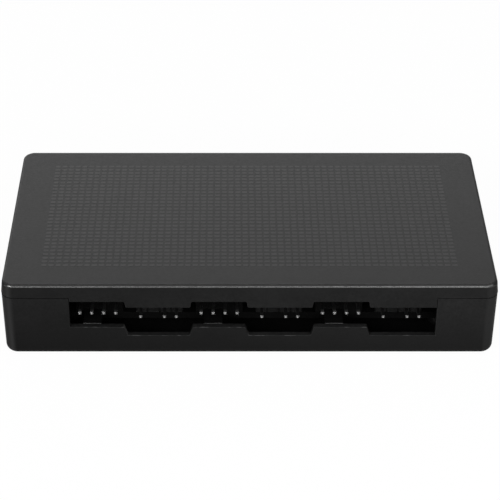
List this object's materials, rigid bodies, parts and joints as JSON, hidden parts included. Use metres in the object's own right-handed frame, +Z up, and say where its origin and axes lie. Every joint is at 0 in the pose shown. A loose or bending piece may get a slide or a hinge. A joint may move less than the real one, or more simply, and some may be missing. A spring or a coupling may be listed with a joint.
{
  "type": "power and lighting splitter",
  "caption": "Flat two-shell black splitter box with staggered rows of fan and light pin headers along both long sides, control inputs on one end and a blade power inlet on the other.",
  "frame": {"origin": "middle of the underside, on the surface that the box stands on", "axes": "+X along the length to the right when the pictured row faces the viewer, -Y out of that front row, +Z up through the cover"},
  "size_m": [0.105, 0.055, 0.018],
  "materials": {
    "cover_plastic": "fine spark-eroded matt black",
    "case_plastic": "fine spark-eroded matt black",
    "header_plastic": "satin black",
    "tinned_pins": "bright tin",
    "gilt_contacts": "bright",
    "board": "satin black lacquer",
    "black_screws": "black oxide",
    "magnet_nickel": "nickel plated",
    "capacitor_cans": "satin",
    "chip_black": "matt black",
    "ceramic": "matt tan"
  },
  "bodies": {
    "root": {"top_cover": "cover_plastic", "bottom_case": "case_plastic", "circuit_board": "board", "fan_header_1": "header_plastic", "fan_header_2": "header_plastic", "fan_header_3": "header_plastic", "fan_header_4": "header_plastic", "fan_header_5": "header_plastic", "fan_header_6": "header_plastic", "fan_pins_1": "tinned_pins", "fan_pins_2": "tinned_pins", "fan_pins_3": "tinned_pins", "fan_pins_4": "tinned_pins", "fan_pins_5": "tinned_pins", "fan_pins_6": "tinned_pins", "light_header_1": "header_plastic", "light_header_2": "header_plastic", "light_header_3": "header_plastic", "light_header_4": "header_plastic", "light_header_5": "header_plastic", "light_header_6": "header_plastic", "light_pins_1": "tinned_pins", "light_pins_2": "tinned_pins", "light_pins_3": "tinned_pins", "light_pins_4": "tinned_pins", "light_pins_5": "tinned_pins", "light_pins_6": "tinned_pins", "fan_input_header": "header_plastic", "fan_input_pins": "tinned_pins", "light_input_header": "header_plastic", "light_input_pins": "tinned_pins", "power_inlet_body": "header_plastic", "power_inlet_contacts": "gilt_contacts", "case_screw_1": "black_screws", "case_screw_2": "black_screws", "case_screw_3": "black_screws", "case_screw_4": "black_screws", "magnet_left": "magnet_nickel", "magnet_right": "magnet_nickel", "bulk_capacitor_1": "capacitor_cans", "bulk_capacitor_2": "capacitor_cans", "fan_buffer_chip": "chip_black", "light_buffer_chip": "chip_black", "fuse_1": "ceramic", "fuse_2": "ceramic", "chip_resistors": "chip_black", "chip_capacitors": "ceramic"}
  },
  "joints": []
}
